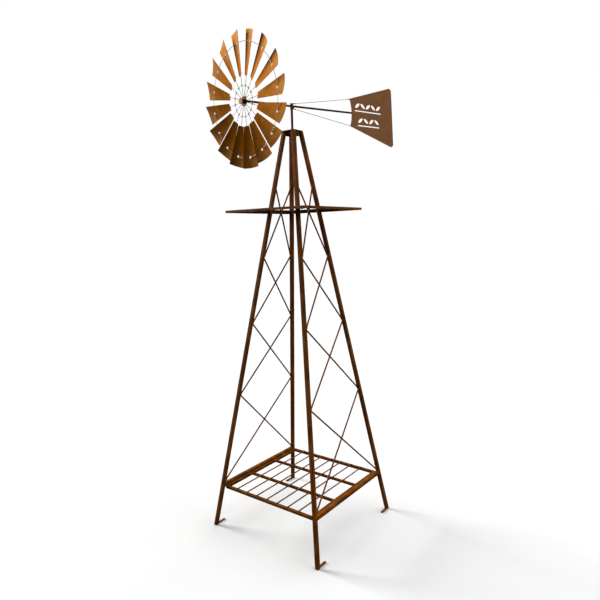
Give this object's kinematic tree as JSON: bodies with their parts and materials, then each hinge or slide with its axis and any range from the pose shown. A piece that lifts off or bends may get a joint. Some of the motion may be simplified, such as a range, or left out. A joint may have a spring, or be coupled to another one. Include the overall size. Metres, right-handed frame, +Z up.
{
  "type": "garden windmill",
  "caption": "Tapered lattice garden windmill with a low slatted shelf, a high square deck, a swivelling head with stayed tail vane, and a spinning bladed wheel.",
  "frame": {"origin": "on the ground at the centre of the four peg holes, which is the tower's vertical axis and the head's yaw axis", "axes": "+Z up; the two rod-braced tower faces are -X and +X; the shelf rods run along Y; at rest the tail points 10.85 degrees from +Y towards +X"},
  "size_m": [0.6943, 1.149, 2.4414],
  "materials": {
    "leg_rust": "rusted, satin",
    "lattice_rust": "rusted, satin",
    "deck_rust": "rusted, satin",
    "blade_rust": "rusted, satin",
    "vane_rust": "rusted, satin",
    "cap_rust": "rusted, satin",
    "head_rust": "rusted, satin",
    "galvanised_wire": "galvanised",
    "zinc_bolt": "zinc plated"
  },
  "bodies": {
    "tower": {"brace_left_1": "lattice_rust", "brace_left_2": "lattice_rust", "brace_left_3": "lattice_rust", "brace_left_4": "lattice_rust", "brace_right_1": "lattice_rust", "brace_right_2": "lattice_rust", "brace_right_3": "lattice_rust", "brace_right_4": "lattice_rust", "deck": "deck_rust", "deck_bolts": "zinc_bolt", "deck_brackets": "deck_rust", "foot_far": "leg_rust", "foot_left": "leg_rust", "foot_near": "leg_rust", "foot_right": "leg_rust", "grate_cross_back": "lattice_rust", "grate_cross_front": "lattice_rust", "grate_end_back": "lattice_rust", "grate_end_front": "lattice_rust", "grate_lugs": "lattice_rust", "grate_rods": "lattice_rust", "grate_side_left": "lattice_rust", "grate_side_right": "lattice_rust", "leg_far": "leg_rust", "leg_left": "leg_rust", "leg_near": "leg_rust", "leg_right": "leg_rust", "pivot_pin": "head_rust", "rail_left": "lattice_rust", "rail_right": "lattice_rust", "top_cap": "leg_rust"},
    "head": {"mast_tube": "head_rust", "head_block": "head_rust", "gusset": "head_rust", "boom": "head_rust", "axle_nut": "zinc_bolt", "vane": "vane_rust", "vane_bolts": "zinc_bolt", "stay_wires": "galvanised_wire"},
    "wheel": {"blade_01": "blade_rust", "blade_02": "blade_rust", "blade_03": "blade_rust", "blade_04": "blade_rust", "blade_05": "blade_rust", "blade_06": "blade_rust", "blade_07": "blade_rust", "blade_08": "blade_rust", "blade_09": "blade_rust", "blade_10": "blade_rust", "blade_11": "blade_rust", "blade_12": "blade_rust", "blade_13": "blade_rust", "blade_14": "blade_rust", "blade_15": "blade_rust", "blade_16": "blade_rust", "hub": "head_rust", "hub_cap": "cap_rust", "inner_ring": "galvanised_wire", "outer_ring": "galvanised_wire", "spokes": "galvanised_wire"}
  },
  "joints": [
    {"name": "head_yaw", "type": "hinge", "parent": "tower", "child": "head", "pos_m": [0, 0, 2.1], "axis": [0, 0, 1], "continuous": true},
    {"name": "wheel_spin", "type": "hinge", "parent": "head", "child": "wheel", "pos_m": [-0.05541, -0.28909, 2.14056], "axis": [-0.2094, -0.9745, -0.0811], "continuous": true}
  ]
}
